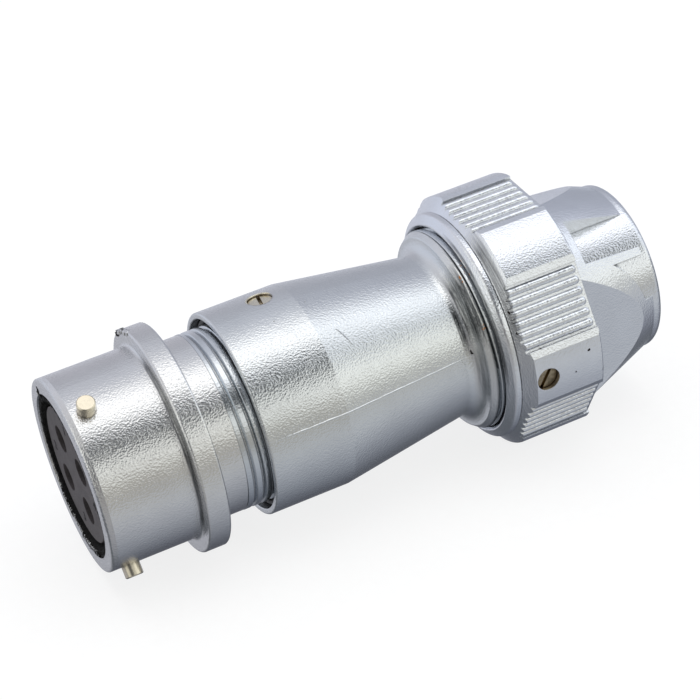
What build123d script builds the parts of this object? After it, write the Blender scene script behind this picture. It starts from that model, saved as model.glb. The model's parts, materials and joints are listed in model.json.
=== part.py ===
from build123d import *
from math import acos, cos, degrees, radians, sin
import os

# Circular cable connector, in millimetres.
# The axis is X: the mating face is at x = 0 and the cable leaves at the far end, towards +X.
# +Z is up. It lies on one knurled flat of the clamping nut.
# A station is a distance along X from the mating face. A side angle is measured round the
# axis from the front side (-Y) upwards, so 0 faces -Y and 90 faces +Z.

os.makedirs("parts", exist_ok=True)

# Nose of the front shell
nose_radius = 14.0
nose_wall = 2.1
nose_length = 13.15
nose_edge_round = 0.35
flange_height = 2.3
flange_thickness = 3.3
flange_edge_round = 0.35
flange_foot_round = 0.5
insert_seat_depth = 10.5
insert_seat_web = 2.0

# Threaded tail of the front shell
insert_seat_step = 1.1
tail_wall = 1.45
tail_land = 4.0
tail_land_drop = 0.15
shell_thread_depth = 0.55
tail_thread_length = 11.8

# Bayonet pins
pin_count = 3
pin_radius = 1.3
pin_station = 3.2
pin_height = 1.7
pin_first_side = 69.0
pin_tip_chamfer = 0.15

# Keyed lining of the nose bore
lining_front = 0.3
lining_wall = 1.0
lug_front = 0.1
lining_clearance = 0.05
key_slot_depth = 0.6
key_slots = ((-125.5, 3.5), (-92.5, 3.5), (130.0, 1.1))

# Contact carrier
insert_front = 0.6
mating_gap = 0.95
insert_clearance = 0.1
insert_edge_round = 0.15
insert_collar_thickness = 4.0
contact_count = 4
contact_circle_radius = 5.2
contact_first_side = 37.0
contact_hole_radius = 2.0
retainer_thickness = 4.5
ring_thickness = 1.2
ring_groove_depth = 0.6
ring_height = 1.3
ring_gap_width = 5.0

# Contacts
contact_radius = 1.85
contact_bore_radius = 1.5
contact_bore_depth = 9.0
contact_recess = 0.9
contact_collar_radius = 2.3
contact_collar_length = 2.0
contact_shank_radius = 1.3
solder_cup_radius = 1.8
solder_cup_bore = 1.2
solder_cup_length = 6.0

# Backshell
thread_in_view = 3.3
barrel_wall = 1.75
barrel_length = 11.9
mouth_edge_round = 0.3
mouth_bore_round = 0.15
mouth_recess_step = 0.85
mouth_recess_depth = 1.9
taper_length = 21.25
taper_drop = 3.1
collar_rise = 3.2
collar_chamfer_drop = 0.75
collar_chamfer_length = 1.0
collar_foot_round = 1.9
collar_edge_round = 0.25
collar_rear_round = 0.15
conduit_front_wall = 4.25
conduit_rear_wall = 2.25
conduit_overrun = 1.0
pocket_wall = 2.8
pocket_floor_setback = 0.55
nut_thread_depth = 0.55
nut_thread_length = 9.05
backshell_end_round = 0.4
thread_clearance = 0.1
shell_end_gap = 0.3

# Clamping nut
nut_gap = 0.7
nut_bore_clearance = 0.2
nut_mouth_chamfer = 0.3
nut_mouth_land = 0.15
nut_mouth_round = 0.1
nut_mouth_rise = 1.3
nut_collar_length = 1.65
nut_collar_land = 0.75
nut_collar_round = 0.6
nut_step = 0.25
nut_corner_rise = 1.8
nut_chamfer_length = 1.6
knurl_length = 12.1
knurl_edge_round = 0.35
flat_drop = 0.95
ridge_count = 6
ridge_pitch = 1.53
ridge_radius = 0.6
groove_width = 0.42
groove_depth = 0.45
ridge_end_gap = 0.25
tail_cone_drop = 1.8
tail_cone_slope = 0.376
spigot_wall = 3.4
nut_length = 27.25
spigot_edge_round = 1.0
facet_count = 3
facet_rise = 0.85
facet_first_side = -1.5
window_first_side = 55.5
window_half_angle = 12.5
window_start = 2.0
scallop_start_side = 9.0
scallop_end_side = 37.5
scallop_radius = 11.9
scallop_centre_inset = 1.2
scallop_gap = 4.0
cable_exit_radius = 9.0
cable_exit_flare = 0.8
cable_exit_round = 0.2
nut_relief_step = 1.95
nut_relief_length = 2.7

# Cable seal inside the nut
grommet_bore_radius = 6.0
grommet_radius_clearance = 0.3
grommet_front_gap = 0.1
grommet_nose_drop = 0.9
grommet_shoulder_inset = 1.0
grommet_edge_round = 0.4
washer_gap = 1.9
washer_thickness = 1.4
washer_lip = 1.0
washer_clearance = 0.3

# Joint seal in the mouth of the backshell
seal_section_radius = 0.4
seal_clearance = 0.05

# Set screws
backshell_screw_inset = 8.0
backshell_screw_side = 100.4
backshell_screw_radius = 1.75
backshell_screw_recess = 0.3
nut_screw_inset = 3.4
nut_screw_side = 0.0
nut_screw_radius = 1.65
nut_screw_recess = 0.8
screw_clearance = 0.05
screw_tip_clearance = 0.15
slot_width = 0.5
slot_depth = 0.5
nut_screw_slot_turn = 58.0
backshell_screw_slot_turn = 80.0

# How far a cutter starts outside the surface that it cuts
cut_margin = 1.0

# Radii worked out from the sizes above
nose_bore_radius = nose_radius - nose_wall
flange_radius = nose_radius + flange_height
lining_outer = nose_bore_radius - lining_clearance
insert_radius = lining_outer - lining_wall - mating_gap
tail_bore_radius = insert_radius + insert_seat_step
shell_thread_root = tail_bore_radius + tail_wall
shell_thread_radius = shell_thread_root + shell_thread_depth
tail_radius = shell_thread_radius - tail_land_drop
backshell_thread_bore = shell_thread_radius + thread_clearance
barrel_radius = backshell_thread_bore + barrel_wall
mouth_recess_radius = backshell_thread_bore + mouth_recess_step
taper_end_radius = barrel_radius - taper_drop
conduit_front_radius = barrel_radius - conduit_front_wall
conduit_rear_radius = taper_end_radius - conduit_rear_wall
collar_radius = taper_end_radius + collar_rise
nut_thread_root_radius = collar_radius - nut_thread_depth
grommet_pocket_radius = nut_thread_root_radius - pocket_wall
nut_bore_radius = collar_radius + nut_bore_clearance
nut_mouth_radius = nut_bore_radius + nut_mouth_chamfer + nut_mouth_land
nut_collar_radius = nut_mouth_radius + nut_mouth_rise
nut_corner_radius = nut_collar_radius + nut_corner_rise
flat_distance = nut_corner_radius - flat_drop
tail_cone_radius = nut_corner_radius - tail_cone_drop
spigot_radius = cable_exit_radius + spigot_wall
facet_distance = spigot_radius + facet_rise
nut_relief_radius = nut_bore_radius - nut_relief_step
washer_bore_radius = cable_exit_radius - washer_lip

# Stations worked out from the sizes above
flange_rear = nose_length + flange_thickness
thread_start = flange_rear + tail_land
shell_end = thread_start + tail_thread_length
seat_rear = insert_seat_depth + insert_seat_web
retainer_front = seat_rear + insert_collar_thickness
ring_front = retainer_front + retainer_thickness
mouth_station = thread_start + thread_in_view
barrel_end = mouth_station + barrel_length
taper_end = barrel_end + taper_length
collar_rear = taper_end + collar_chamfer_length
backshell_end = collar_rear + nut_thread_length
grommet_pocket_floor = taper_end + pocket_floor_setback
nut_front = collar_rear + nut_gap
knurl_front = nut_front + nut_collar_length
knurl_rear = knurl_front + knurl_length
nut_end = nut_front + nut_length
spigot_start = knurl_rear + (tail_cone_radius - spigot_radius) / tail_cone_slope
washer_front = backshell_end + washer_gap
grommet_rear = washer_front - washer_clearance
nut_inner_wall = washer_front + washer_thickness + washer_clearance


def outward(side):
    """Unit direction that points away from the axis at a side angle."""
    return Vector(0, -cos(radians(side)), sin(radians(side)))


def side_plane(station, radius, side):
    """Plane on the outside at a station: its x runs along the axis, its normal points outwards."""
    spot = Vector(station, 0, 0) + outward(side) * radius
    return Plane(origin=spot, x_dir=(1, 0, 0), z_dir=outward(side))


def turned_face(*corners):
    """Face to revolve about X. A corner is (station, radius) or (station, radius, rounding)."""
    points = [corner[:2] for corner in corners]
    rounding = [corner[2] if len(corner) > 2 else 0 for corner in corners]
    with BuildSketch(Plane.XZ) as profile:
        with BuildLine():
            FilletPolyline(*points, radius=rounding, close=True)
        make_face()
    return profile.sketch


def sector_face(station, inner, outer, start_side, end_side):
    """Piece of a ring between two side angles, in the plane across the axis at a station."""
    with BuildSketch(Plane.YZ.offset(station)) as face:
        with BuildLine():
            arc_size = start_side - end_side
            CenterArc((0, 0), inner, 180 - start_side, arc_size)
            CenterArc((0, 0), outer, 180 - start_side, arc_size)
            for side in (start_side, end_side):
                across = -cos(radians(side))
                up = sin(radians(side))
                Line((inner * across, inner * up), (outer * across, outer * up))
        make_face()
    return face.sketch


def finish(piece, name):
    """Label a piece and write its file."""
    piece.part.label = name
    export_step(piece.part, f"parts/{name}.step")


# Front shell: nose, flange and threaded tail in one casting
with BuildPart() as front_shell:
    revolve(
        turned_face(
            (0, nose_bore_radius),
            (0, nose_radius, nose_edge_round),
            (nose_length, nose_radius, flange_foot_round),
            (nose_length, flange_radius, flange_edge_round),
            (flange_rear, flange_radius, flange_edge_round),
            (flange_rear, tail_radius),
            (thread_start, tail_radius),
            (thread_start, shell_thread_root),
            (shell_end, shell_thread_root),
            (shell_end, tail_bore_radius),
            (ring_front + ring_thickness, tail_bore_radius),
            (ring_front + ring_thickness, tail_bore_radius + ring_groove_depth),
            (ring_front, tail_bore_radius + ring_groove_depth),
            (ring_front, tail_bore_radius),
            (seat_rear, tail_bore_radius),
            (seat_rear, insert_radius + insert_clearance),
            (insert_seat_depth, insert_radius + insert_clearance),
            (insert_seat_depth, nose_bore_radius),
        ),
        axis=Axis.X,
    )
    # Slots in the bore that hold the lugs of the lining
    for side, width in key_slots:
        with BuildSketch(Plane.YZ):
            with PolarLocations(nose_bore_radius, 1, start_angle=180 - side):
                Rectangle(2 * key_slot_depth, width + 2 * lining_clearance)
        extrude(amount=insert_seat_depth, mode=Mode.SUBTRACT)
    # Holes for the bayonet pins
    for number in range(pin_count):
        side = pin_first_side + number * 360 / pin_count
        with BuildSketch(side_plane(pin_station, nose_radius + pin_height, side)):
            Circle(pin_radius)
        extrude(amount=-nose_wall - pin_height - key_slot_depth, mode=Mode.SUBTRACT)
finish(front_shell, "front_shell")

# Bayonet pins, pressed through the wall of the nose
for number in range(pin_count):
    side = pin_first_side + number * 360 / pin_count
    with BuildPart() as bayonet_pin:
        with BuildSketch(side_plane(pin_station, nose_bore_radius + lining_clearance, side)):
            Circle(pin_radius)
        extrude(amount=nose_radius + pin_height - nose_bore_radius - lining_clearance)
        tip = bayonet_pin.faces().filter_by(GeomType.PLANE).sort_by(SortBy.DISTANCE)[-1]
        chamfer(tip.edges(), pin_tip_chamfer)
    finish(bayonet_pin, f"bayonet_pin_{number + 1}")

# Keyed lining: a black sleeve in the bore of the nose, its lugs in the slots of the shell
with BuildPart() as keyed_lining:
    revolve(
        turned_face(
            (lining_front, lining_outer - lining_wall),
            (lining_front, lining_outer),
            (insert_seat_depth, lining_outer),
            (insert_seat_depth, lining_outer - lining_wall),
        ),
        axis=Axis.X,
    )
    for side, width in key_slots:
        with BuildSketch(Plane.YZ.offset(lug_front)):
            with PolarLocations(nose_bore_radius, 1, start_angle=180 - side):
                Rectangle(2 * key_slot_depth - 2 * lining_clearance, width)
        extrude(amount=insert_seat_depth - lug_front)
finish(keyed_lining, "keyed_lining")

# Contact insert: the moulded block with the contact holes, seated by its collar
contact_sides = [contact_first_side + number * 360 / contact_count for number in range(contact_count)]
insert_spots = [outward(side) * contact_circle_radius for side in contact_sides]
with BuildPart() as contact_insert:
    revolve(
        turned_face(
            (insert_front, 0),
            (insert_front, insert_radius, insert_edge_round),
            (seat_rear, insert_radius),
            (seat_rear, tail_bore_radius - insert_clearance),
            (retainer_front, tail_bore_radius - insert_clearance),
            (retainer_front, 0),
        ),
        axis=Axis.X,
    )
    with BuildSketch(Plane.YZ.offset(insert_front)):
        with Locations(*[(spot.Y, spot.Z) for spot in insert_spots]):
            Circle(contact_hole_radius)
    extrude(amount=retainer_front, mode=Mode.SUBTRACT)
    with BuildSketch(Plane.YZ.offset(retainer_front - contact_collar_length)):
        with Locations(*[(spot.Y, spot.Z) for spot in insert_spots]):
            Circle(contact_collar_radius + insert_clearance)
    extrude(amount=contact_collar_length, mode=Mode.SUBTRACT)
finish(contact_insert, "contact_insert")

# Contact retainer: the disc behind the insert that keeps the contacts in
with BuildPart() as contact_retainer:
    with BuildSketch(Plane.YZ.offset(retainer_front)):
        Circle(tail_bore_radius - insert_clearance)
        with Locations(*[(spot.Y, spot.Z) for spot in insert_spots]):
            Circle(contact_shank_radius + insert_clearance, mode=Mode.SUBTRACT)
    extrude(amount=retainer_thickness)
finish(contact_retainer, "contact_retainer")

# Retaining ring: an open spring ring in the groove behind the retainer
ring_outer_radius = tail_bore_radius + ring_groove_depth - insert_clearance
with BuildPart() as retaining_ring:
    with BuildSketch(Plane.YZ.offset(ring_front)):
        Circle(ring_outer_radius)
        Circle(ring_outer_radius - ring_height, mode=Mode.SUBTRACT)
        with Locations((0, -ring_outer_radius)):
            Rectangle(ring_gap_width, 3 * ring_height, mode=Mode.SUBTRACT)
    extrude(amount=ring_thickness)
finish(retaining_ring, "retaining_ring")

# Socket contacts: bored in front, with a solder cup behind the retainer
cup_front = ring_front
for number, spot in enumerate(insert_spots):
    contact_front = insert_front + contact_recess
    collar_start = retainer_front - contact_collar_length
    with BuildPart() as socket_contact:
        with BuildSketch(Plane.YZ.offset(contact_front)):
            with Locations((spot.Y, spot.Z)):
                Circle(contact_radius)
        extrude(amount=collar_start - contact_front)
        with BuildSketch(Plane.YZ.offset(collar_start)):
            with Locations((spot.Y, spot.Z)):
                Circle(contact_collar_radius)
        extrude(amount=contact_collar_length)
        with BuildSketch(Plane.YZ.offset(retainer_front)):
            with Locations((spot.Y, spot.Z)):
                Circle(contact_shank_radius)
        extrude(amount=retainer_thickness)
        with BuildSketch(Plane.YZ.offset(cup_front)):
            with Locations((spot.Y, spot.Z)):
                Circle(solder_cup_radius)
        extrude(amount=solder_cup_length)
        with BuildSketch(Plane.YZ.offset(contact_front)):
            with Locations((spot.Y, spot.Z)):
                Circle(contact_bore_radius)
        extrude(amount=contact_bore_depth, mode=Mode.SUBTRACT)
        with BuildSketch(Plane.YZ.offset(cup_front + solder_cup_length)):
            with Locations((spot.Y, spot.Z)):
                Circle(solder_cup_bore)
        extrude(amount=-solder_cup_length + solder_cup_bore, mode=Mode.SUBTRACT)
        # The upper half of the cup is cut away for the wire
        with BuildSketch(Plane.YZ.offset(cup_front + solder_cup_length)):
            with Locations((spot.Y, spot.Z + solder_cup_radius)):
                Rectangle(2 * solder_cup_radius, 2 * solder_cup_radius)
        extrude(amount=-solder_cup_length / 2, mode=Mode.SUBTRACT)
    finish(socket_contact, f"socket_contact_{number + 1}")

# Joint seal: a rubber ring at the bottom of the recess in the backshell's mouth
seal_ring_radius = mouth_recess_radius - seal_clearance - seal_section_radius
seal_station = mouth_station + mouth_recess_depth - seal_clearance - seal_section_radius
with BuildPart() as joint_seal:
    with BuildSketch(Plane.XZ):
        with Locations((seal_station, seal_ring_radius)):
            Circle(seal_section_radius)
    revolve(axis=Axis.X)
finish(joint_seal, "joint_seal")

# Backshell: barrel, long taper, collar and the thread for the nut in one casting
shell_stop = shell_end + shell_end_gap
backshell_screw_station = mouth_station + backshell_screw_inset
with BuildPart() as backshell:
    revolve(
        turned_face(
            (mouth_station, mouth_recess_radius, mouth_bore_round),
            (mouth_station, barrel_radius, mouth_edge_round),
            (barrel_end, barrel_radius),
            (taper_end, taper_end_radius, collar_foot_round),
            (taper_end, collar_radius - collar_chamfer_drop, collar_edge_round),
            (collar_rear, collar_radius, collar_rear_round),
            (collar_rear, nut_thread_root_radius),
            (backshell_end, nut_thread_root_radius, backshell_end_round),
            (backshell_end, grommet_pocket_radius),
            (grommet_pocket_floor, grommet_pocket_radius),
            (grommet_pocket_floor, conduit_rear_radius),
            (barrel_end + conduit_overrun, conduit_front_radius),
            (shell_stop, conduit_front_radius),
            (shell_stop, backshell_thread_bore),
            (mouth_station + mouth_recess_depth, backshell_thread_bore),
            (mouth_station + mouth_recess_depth, mouth_recess_radius),
        ),
        axis=Axis.X,
    )
    with BuildSketch(side_plane(backshell_screw_station, barrel_radius + cut_margin, backshell_screw_side)):
        Circle(backshell_screw_radius + screw_clearance)
    extrude(amount=-barrel_wall - 2 * cut_margin, mode=Mode.SUBTRACT)
finish(backshell, "backshell")

# Backshell set screw: slotted, backed off so that it is clear of the shell's thread
screw_foot = backshell_thread_bore + screw_tip_clearance
screw_top = barrel_radius - backshell_screw_recess
with BuildPart() as backshell_set_screw:
    with BuildSketch(side_plane(backshell_screw_station, screw_foot, backshell_screw_side)):
        Circle(backshell_screw_radius)
    extrude(amount=screw_top - screw_foot)
    with BuildSketch(side_plane(backshell_screw_station, screw_top, backshell_screw_side)):
        Rectangle(4 * backshell_screw_radius, slot_width, rotation=backshell_screw_slot_turn)
    extrude(amount=-slot_depth, mode=Mode.SUBTRACT)
finish(backshell_set_screw, "backshell_set_screw")

# Cable grommet: the rubber bush that the nut squeezes round the cable
grommet_radius = grommet_pocket_radius - grommet_radius_clearance
with BuildPart() as cable_grommet:
    revolve(
        turned_face(
            (grommet_pocket_floor + grommet_front_gap, grommet_bore_radius),
            (grommet_pocket_floor + grommet_front_gap, grommet_radius, grommet_edge_round),
            (backshell_end - grommet_shoulder_inset, grommet_radius),
            (grommet_rear, grommet_radius - grommet_nose_drop, grommet_edge_round),
            (grommet_rear, grommet_bore_radius),
        ),
        axis=Axis.X,
    )
finish(cable_grommet, "cable_grommet")

# Thrust washer: lets the nut turn without twisting the grommet
with BuildPart() as thrust_washer:
    with BuildSketch(Plane.YZ.offset(washer_front)):
        Circle(nut_relief_radius - washer_clearance)
        Circle(washer_bore_radius, mode=Mode.SUBTRACT)
    extrude(amount=washer_thickness)
finish(thrust_washer, "thrust_washer")

# Scallop tool: the shape that is cut from the nut's cone behind each facet, outside a round boss
with BuildPart() as scallop_tool:
    scallop_start = knurl_rear + scallop_gap
    extrude(
        sector_face(scallop_start, spigot_radius, nut_corner_radius, scallop_start_side, scallop_end_side),
        amount=nut_end - knurl_rear,
    )
    with BuildSketch(side_plane(knurl_rear - scallop_centre_inset, 0, facet_first_side)):
        Circle(scallop_radius)
    extrude(amount=2 * nut_corner_radius, mode=Mode.SUBTRACT)

# Window tool: the pocket between two ribs that shows the nut's spigot
window_start_side = window_first_side - window_half_angle
window_end_side = window_first_side + window_half_angle
with BuildPart() as window_tool:
    pocket_start = knurl_rear + window_start
    extrude(
        sector_face(pocket_start, spigot_radius, nut_corner_radius, window_start_side, window_end_side),
        amount=nut_length,
    )

# Ridge: one round bar of the knurl, with a round rear end
ridge_length = knurl_length - ridge_end_gap
with BuildPart() as ridge:
    with BuildSketch(Plane.XZ):
        with BuildLine():
            round_start = ridge_length - ridge_radius
            Polyline((round_start, ridge_radius), (0, ridge_radius), (0, 0), (ridge_length, 0))
            RadiusArc((round_start, ridge_radius), (ridge_length, 0), ridge_radius)
        make_face()
    revolve(axis=Axis.X)

# Clamping nut: knurled hexagon with rounded corners, and a ribbed nose where the cable leaves
knurl_field = ridge_count * ridge_pitch + groove_width
chamfer_foot_radius = nut_collar_radius - nut_step
chamfer_rise = nut_corner_radius - chamfer_foot_radius
nut_screw_station = knurl_front + nut_screw_inset
with BuildPart() as clamping_nut:
    revolve(
        turned_face(
            (nut_front, nut_bore_radius + nut_mouth_chamfer),
            (nut_front, nut_mouth_radius, nut_mouth_round),
            (knurl_front - nut_collar_land, nut_collar_radius, nut_collar_round),
            (knurl_front, nut_collar_radius),
            (knurl_front, nut_corner_radius),
            (knurl_rear, nut_corner_radius, knurl_edge_round),
            (knurl_rear, tail_cone_radius),
            (spigot_start, spigot_radius),
            (nut_end, spigot_radius, spigot_edge_round),
            (nut_end, cable_exit_radius + cable_exit_flare, cable_exit_round),
            (nut_end - cable_exit_flare, cable_exit_radius),
            (nut_inner_wall, cable_exit_radius),
            (nut_inner_wall, nut_relief_radius),
            (nut_inner_wall - nut_relief_length, nut_relief_radius),
            (nut_inner_wall - nut_relief_length, nut_bore_radius),
            (nut_front + nut_mouth_chamfer, nut_bore_radius),
        ),
        axis=Axis.X,
    )
    # Six flats
    with BuildSketch(Plane.YZ.offset(knurl_front)):
        Circle(nut_corner_radius + cut_margin)
        RegularPolygon(flat_distance, 6, major_radius=False, mode=Mode.SUBTRACT)
    extrude(amount=knurl_length, mode=Mode.SUBTRACT)
    # Sunk field on each flat for the knurl
    with BuildSketch(Plane.YZ.offset(knurl_front)):
        with PolarLocations(flat_distance, 6, start_angle=30):
            Rectangle(2 * groove_depth, knurl_field)
    extrude(amount=knurl_length, mode=Mode.SUBTRACT)
    # Round ridges that fill each field, their crests level with the flat
    ridge_offsets = [(number - (ridge_count - 1) / 2) * ridge_pitch for number in range(ridge_count)]
    for flat in range(6):
        turn = Location((knurl_front, 0, 0), (60 * flat, 0, 0))
        bars = [turn * Location((0, offset, flat_distance - ridge_radius)) for offset in ridge_offsets]
        with Locations(*bars):
            add(ridge.part)
    # The front chamfer trims corners and ridges alike, and leaves a fine step behind the collar
    revolve(
        turned_face(
            (knurl_front, chamfer_foot_radius),
            (knurl_front + 2 * nut_chamfer_length, chamfer_foot_radius + 2 * chamfer_rise),
            (knurl_front - nut_chamfer_length, chamfer_foot_radius + 2 * chamfer_rise),
            (knurl_front, nut_collar_radius),
        ),
        axis=Axis.X,
        mode=Mode.SUBTRACT,
    )
    # Nose: plane facets, rib windows and scallops, each once in every third of a turn
    for number in range(facet_count):
        turn = number * 360 / facet_count
        with BuildSketch(side_plane(nut_end, facet_distance, facet_first_side + turn)):
            Rectangle(2 * (nut_end - knurl_rear), 4 * spigot_radius)
        extrude(amount=nut_corner_radius - facet_distance, mode=Mode.SUBTRACT)
        add(window_tool.part.rotate(Axis.X, -turn), mode=Mode.SUBTRACT)
        add(scallop_tool.part.rotate(Axis.X, -turn), mode=Mode.SUBTRACT)
    # Threaded hole for the set screw, in the middle of a corner
    with BuildSketch(side_plane(nut_screw_station, nut_corner_radius + cut_margin, nut_screw_side)):
        Circle(nut_screw_radius + screw_clearance)
    extrude(amount=nut_bore_radius - nut_corner_radius - 2 * cut_margin, mode=Mode.SUBTRACT)
finish(clamping_nut, "clamping_nut")

# Nut set screw: slotted, below the surface of its corner
nut_screw_foot = nut_bore_radius + screw_tip_clearance
nut_screw_top = nut_corner_radius - nut_screw_recess
with BuildPart() as nut_set_screw:
    with BuildSketch(side_plane(nut_screw_station, nut_screw_foot, nut_screw_side)):
        Circle(nut_screw_radius)
    extrude(amount=nut_screw_top - nut_screw_foot)
    with BuildSketch(side_plane(nut_screw_station, nut_screw_top, nut_screw_side)):
        Rectangle(4 * nut_screw_radius, slot_width, rotation=nut_screw_slot_turn)
    extrude(amount=-slot_depth, mode=Mode.SUBTRACT)
finish(nut_set_screw, "nut_set_screw")
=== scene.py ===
# %% [markdown]
# # A cable connector in plated metal
# The real object is a plug about 86 mm long. It has a bayonet nose with four contacts, a long
# tapered backshell, and a knurled clamping nut where the cable leaves. The solid pieces come
# ready made in a shared frame, so this lesson adds only what makes them look real: the camera,
# the light, the finishes, the screw threads, and the small marks of casting and use.

# %% Load the frame
import json
from math import atan2, cos, degrees, pi, radians, sin

import bpy
from mathutils import Matrix, Vector, noise
from mathutils.bvhtree import BVHTree


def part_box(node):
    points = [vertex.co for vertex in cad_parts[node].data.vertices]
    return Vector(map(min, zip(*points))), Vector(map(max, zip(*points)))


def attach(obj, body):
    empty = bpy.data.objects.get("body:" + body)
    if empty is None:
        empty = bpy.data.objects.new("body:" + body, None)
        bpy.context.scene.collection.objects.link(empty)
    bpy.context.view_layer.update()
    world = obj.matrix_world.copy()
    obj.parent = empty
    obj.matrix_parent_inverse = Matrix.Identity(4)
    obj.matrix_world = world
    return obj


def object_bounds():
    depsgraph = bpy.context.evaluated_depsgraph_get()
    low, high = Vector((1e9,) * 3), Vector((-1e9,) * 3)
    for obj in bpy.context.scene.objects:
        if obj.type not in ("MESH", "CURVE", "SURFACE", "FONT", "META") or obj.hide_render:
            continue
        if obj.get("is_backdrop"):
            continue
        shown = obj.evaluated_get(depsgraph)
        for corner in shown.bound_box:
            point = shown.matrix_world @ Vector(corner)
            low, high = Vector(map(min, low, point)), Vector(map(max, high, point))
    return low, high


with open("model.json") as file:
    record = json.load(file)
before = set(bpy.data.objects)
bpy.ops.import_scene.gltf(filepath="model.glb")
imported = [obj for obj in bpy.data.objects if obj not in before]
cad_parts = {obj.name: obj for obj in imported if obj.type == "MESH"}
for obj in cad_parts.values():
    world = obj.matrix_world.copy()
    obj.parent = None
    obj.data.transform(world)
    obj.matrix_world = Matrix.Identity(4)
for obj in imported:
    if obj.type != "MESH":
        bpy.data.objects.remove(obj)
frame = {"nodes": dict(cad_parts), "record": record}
cad_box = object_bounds()
print("pieces:", len(frame["nodes"]), "box:", [round(edge, 4) for corner in cad_box for edge in corner])

# %% [markdown]
# ## Units and directions
# Blender works in metres, but a maker thinks of this part in millimetres, so one value turns
# one into the other. The part lies along X. A place on it is given by a station, which is the
# distance from the mating face, a radius, and a side angle that is 0 at the front and 90 at the top.

# %% Units and directions
MM = 0.001
NUT_STATION = 63.0
NUT_CORNER_RADIUS = 18.7


def outward(side):
    """Unit direction away from the axis at a side angle in degrees."""
    return Vector((0.0, -cos(radians(side)), sin(radians(side))))


def place(station, radius, side):
    """Point of the part, from millimetres and a side angle, in metres."""
    return (Vector((station, 0.0, 0.0)) + outward(side) * radius) * MM


nut_corner = place(NUT_STATION, NUT_CORNER_RADIUS, 0.0)
print("front corner of the nut, in metres:", [round(value, 4) for value in nut_corner])

# %% [markdown]
# ## Camera
# The photograph looks down on the part from the front left. A camera can be turned by angles,
# but three direction vectors are clearer when a view has been measured: where it looks, what is
# to its right, and what is up. The long lens flattens the part, as the photograph does.

# %% Camera
CAMERA_PLACE = Vector((-49.10, -246.50, 187.11)) * MM
CAMERA_HEADING = radians(20.41)
CAMERA_DIP = radians(35.0)
CAMERA_ROLL = radians(-9.05)
LENS = 118.3
SENSOR = 36.0

view_direction = Vector((
    sin(CAMERA_HEADING) * cos(CAMERA_DIP),
    cos(CAMERA_HEADING) * cos(CAMERA_DIP),
    -sin(CAMERA_DIP),
))
level_right = Vector((cos(CAMERA_HEADING), -sin(CAMERA_HEADING), 0.0))
level_up = level_right.cross(view_direction)
camera_right = level_right * cos(CAMERA_ROLL) + level_up * sin(CAMERA_ROLL)
camera_up = level_up * cos(CAMERA_ROLL) - level_right * sin(CAMERA_ROLL)

camera_data = bpy.data.cameras.new("photo_camera")
camera_data.lens = LENS
camera_data.sensor_width = SENSOR
camera = bpy.data.objects.new("photo_camera", camera_data)
bpy.context.scene.collection.objects.link(camera)
camera_turn = Matrix((camera_right, camera_up, -view_direction)).transposed().to_4x4()
camera.matrix_world = Matrix.Translation(CAMERA_PLACE) @ camera_turn
bpy.context.scene.camera = camera
bpy.context.scene.view_settings.view_transform = "Standard"
print("camera looks along", [round(value, 3) for value in view_direction])

# %% [markdown]
# ## Node helpers
# A Blender material is a small graph of nodes. Building it in code takes many short steps, so a
# few helpers do the repeated ones: they add a node and fill its inputs, start a material with the
# physically based shader, and keep a sum, a range or a mix of colours on one readable line.

# %% Node helpers
# The mix node has a set of sockets for each kind of data. These are the numbers of the colour set.
MIX_FACTOR = 0
MIX_FIRST = 6
MIX_SECOND = 7
MIX_RESULT = 2

# Most of a noise texture lies between these values, so that patterns are stretched from them.
NOISE_RANGE = (0.3, 0.7)
NODE_SAMPLES = 4


def add_node(tree, kind, inputs=None, **settings):
    """Adds a node to a tree. An input takes a value, or a socket to be linked from."""
    made = tree.nodes.new(kind)
    for name, value in settings.items():
        setattr(made, name, value)
    for name, value in (inputs or {}).items():
        socket = made.inputs[name]
        if isinstance(value, bpy.types.NodeSocket):
            tree.links.new(value, socket)
        else:
            socket.default_value = value
    return made


def new_material(name):
    """An empty material with one shader, ready to be fed."""
    material = bpy.data.materials.new(name)
    material.use_nodes = True
    tree = material.node_tree
    tree.nodes.clear()
    shader = add_node(tree, "ShaderNodeBsdfPrincipled")
    add_node(tree, "ShaderNodeOutputMaterial", {"Surface": shader.outputs["BSDF"]})
    return material, tree, shader


def maths(tree, operation, first, second=0.0):
    """One sum, product or comparison of two values."""
    return add_node(tree, "ShaderNodeMath", {0: first, 1: second}, operation=operation).outputs["Value"]


def vector_maths(tree, operation, inputs, output="Vector"):
    """One step of vector arithmetic."""
    return add_node(tree, "ShaderNodeVectorMath", inputs, operation=operation).outputs[output]


def ramp(tree, value, stops):
    """A colour read from a list of (position, colour) stops."""
    made = add_node(tree, "ShaderNodeValToRGB", {"Fac": value})
    band = made.color_ramp
    while len(band.elements) < len(stops):
        band.elements.new(0.5)
    for element, (position, colour) in zip(band.elements, stops):
        element.position = position
        element.color = (*colour, 1.0)
    return made.outputs["Color"]


def spread(tree, value, low, high, to_low=0.0, to_high=1.0):
    """Stretches a value from one range to another, and stops at its ends."""
    names = {"Value": value, "From Min": low, "From Max": high, "To Min": to_low, "To Max": to_high}
    return add_node(tree, "ShaderNodeMapRange", names, clamp=True).outputs["Result"]


def speckle(tree, coordinates, size, detail=2.0, roughness=0.5):
    """Noise whose lumps are about this size in millimetres."""
    names = {"Vector": coordinates, "Scale": 1.0 / (size * MM), "Detail": detail, "Roughness": roughness}
    return add_node(tree, "ShaderNodeTexNoise", names).outputs["Fac"]


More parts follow.
